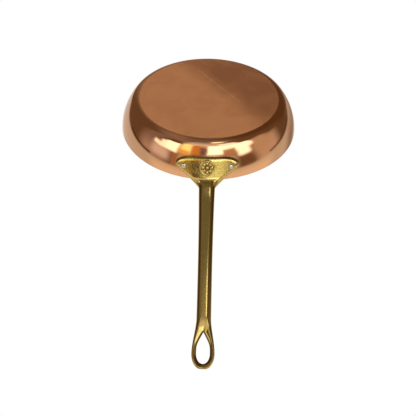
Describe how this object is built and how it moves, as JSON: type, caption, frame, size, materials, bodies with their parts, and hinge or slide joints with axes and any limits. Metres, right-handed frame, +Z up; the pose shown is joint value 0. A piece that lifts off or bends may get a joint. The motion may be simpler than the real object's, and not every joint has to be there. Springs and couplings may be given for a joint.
{
  "type": "frying pan",
  "caption": "Round copper frying pan with a bowed wall, a flat base, a tin lining, and a riveted cast brass handle that ends in a hanging loop.",
  "frame": {"origin": "centre of the flat underside of the base", "axes": "+Z up through the open mouth, +X along the handle"},
  "size_m": [0.3745, 0.2, 0.0992],
  "materials": {
    "copper": "polished wall, satin base",
    "tin": "wiped",
    "cast_brass": "cast and linished",
    "rivet_steel": "polished"
  },
  "bodies": {
    "root": {"pan_body": "copper", "pan_lining": "tin", "handle": "cast_brass", "rivet_left": "rivet_steel", "rivet_right": "rivet_steel"}
  },
  "joints": []
}
